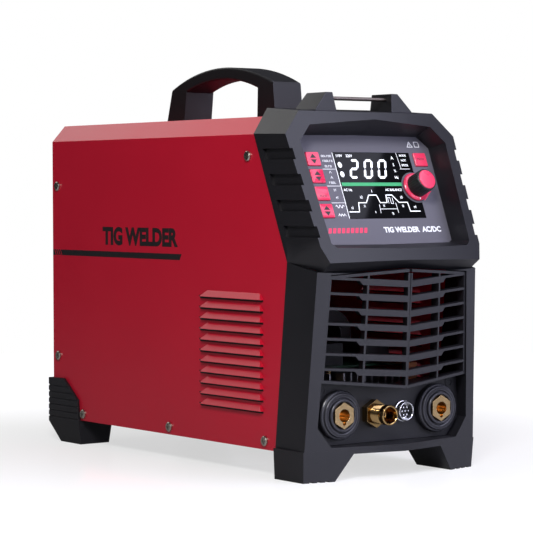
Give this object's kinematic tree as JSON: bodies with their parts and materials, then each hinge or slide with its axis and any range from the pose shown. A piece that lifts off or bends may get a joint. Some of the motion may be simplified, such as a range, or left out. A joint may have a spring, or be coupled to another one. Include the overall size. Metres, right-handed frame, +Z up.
{
  "type": "tig welding machine",
  "caption": "Portable TIG welding power source: sheet-metal case with moulded front, display panel, turn-and-push knob, bayonet output sockets, torch connectors, fan and carry handle.",
  "frame": {"origin": "on the floor under the middle of the overall length and width", "axes": "+X to the right of someone facing the front, the front faces -Y, +Z up"},
  "size_m": [0.219, 0.528, 0.416],
  "materials": {
    "charcoal_moulding": "fine-grained moulded ABS, charcoal",
    "red_powder_coat": "deep red satin powder coat on sheet steel",
    "black_powder_coat": "fine-textured black powder coat",
    "zinc_sheet": "zinc-plated sheet steel",
    "black_handle_plastic": "matte black glass-filled nylon",
    "panel_overlay": "printed grey polyester overlay on plastic",
    "display_glass": "glossy black acrylic window",
    "red_button_plastic": "pinkish red moulded plastic",
    "black_insulator": "black moulded insulating plastic",
    "contact_brass": "turned brass, lightly tarnished",
    "bright_steel": "nickel-plated steel",
    "dark_screw_steel": "black-oxide steel",
    "raw_aluminium": "extruded bare aluminium",
    "copper_winding": "enamelled copper",
    "circuit_board": "green solder mask on glass-epoxy",
    "capacitor_sleeve": "shrink-sleeved electrolytic cans",
    "ferrite_core": "sintered ferrite, dark grey",
    "hose_rubber": "black reinforced rubber hose"
  },
  "bodies": {
    "root": {"arc_starter_coil": "ferrite_core", "base_chassis": "zinc_sheet", "board_standoffs": "contact_brass", "bus_bars": "copper_winding", "cable_gland": "black_insulator", "carry_handle": "black_handle_plastic", "connector_plate": "charcoal_moulding", "control_board": "circuit_board", "control_panel": "panel_overlay", "control_socket_insert": "black_insulator", "control_socket_pins": "contact_brass", "control_socket_shell": "bright_steel", "cover_screws": "dark_screw_steel", "display_module": "black_insulator", "display_window": "display_glass", "earth_stud": "contact_brass", "encoder_body": "zinc_sheet", "fan_frame": "black_insulator", "fan_guard": "bright_steel", "fan_screws": "dark_screw_steel", "fan_stator": "copper_winding", "filter_capacitors": "capacitor_sleeve", "front_bezel": "charcoal_moulding", "front_grille": "charcoal_moulding", "gas_hose": "hose_rubber", "gas_inlet": "contact_brass", "gas_valve": "contact_brass", "gland_nut": "black_insulator", "handle_screws": "dark_screw_steel", "heatsinks": "raw_aluminium", "main_board": "circuit_board", "negative_socket_housing": "black_insulator", "negative_socket_insert": "contact_brass", "outer_cover": "red_powder_coat", "positive_socket_housing": "black_insulator", "positive_socket_insert": "contact_brass", "rear_foot_left": "charcoal_moulding", "rear_foot_right": "charcoal_moulding", "rear_panel": "black_powder_coat", "rectifier_modules": "black_insulator", "socket_nuts": "bright_steel", "strap_bar": "dark_screw_steel", "strap_brackets": "charcoal_moulding", "switch_housing": "black_insulator", "torch_connector": "contact_brass", "torch_nut": "contact_brass", "transformer_coil": "copper_winding", "transformer_core": "ferrite_core"},
    "process_button_body": {"process_button": "red_button_plastic"},
    "trigger_button_body": {"trigger_button": "red_button_plastic"},
    "pulse_button_body": {"pulse_button": "red_button_plastic"},
    "wave_button_body": {"wave_button": "red_button_plastic"},
    "menu_button_body": {"menu_button": "red_button_plastic"},
    "encoder_push": {"encoder_plunger": "bright_steel"},
    "knob": {"encoder_shaft": "bright_steel", "knob_body": "black_insulator", "knob_cap": "red_button_plastic", "knob_skirt": "red_button_plastic"},
    "fan_wheel": {"fan_rotor": "black_insulator"},
    "rocker": {"switch_rocker": "red_button_plastic"}
  },
  "joints": [
    {"name": "process_press", "type": "slide", "parent": "root", "child": "process_button_body", "axis": [0, 0.9178, -0.397], "range_m": [0, 0.0008], "stiffness_N_per_m": 1500},
    {"name": "trigger_press", "type": "slide", "parent": "root", "child": "trigger_button_body", "axis": [0, 0.9178, -0.397], "range_m": [0, 0.0008], "stiffness_N_per_m": 1500},
    {"name": "pulse_press", "type": "slide", "parent": "root", "child": "pulse_button_body", "axis": [0, 0.9178, -0.397], "range_m": [0, 0.0008], "stiffness_N_per_m": 1500},
    {"name": "wave_press", "type": "slide", "parent": "root", "child": "wave_button_body", "axis": [0, 0.9178, -0.397], "range_m": [0, 0.0008], "stiffness_N_per_m": 1500},
    {"name": "menu_press", "type": "slide", "parent": "root", "child": "menu_button_body", "axis": [0, 0.9178, -0.397], "range_m": [0, 0.0008], "stiffness_N_per_m": 1500},
    {"name": "knob_push", "type": "slide", "parent": "root", "child": "encoder_push", "axis": [0, 0.9178, -0.397], "range_m": [0, 0.0005], "stiffness_N_per_m": 4000},
    {"name": "knob_turn", "type": "hinge", "parent": "encoder_push", "child": "knob", "pos_m": [0.0585, -0.19812, 0.2858], "axis": [0, -0.9178, 0.397], "continuous": true},
    {"name": "fan_spin", "type": "hinge", "parent": "root", "child": "fan_wheel", "pos_m": [0, 0.225, 0.196], "axis": [0, 1, 0], "continuous": true},
    {"name": "switch_rock", "type": "hinge", "parent": "root", "child": "rocker", "pos_m": [-0.058, 0.2356, 0.307], "axis": [-1, 0, 0], "range_deg": [0, 18]}
  ]
}
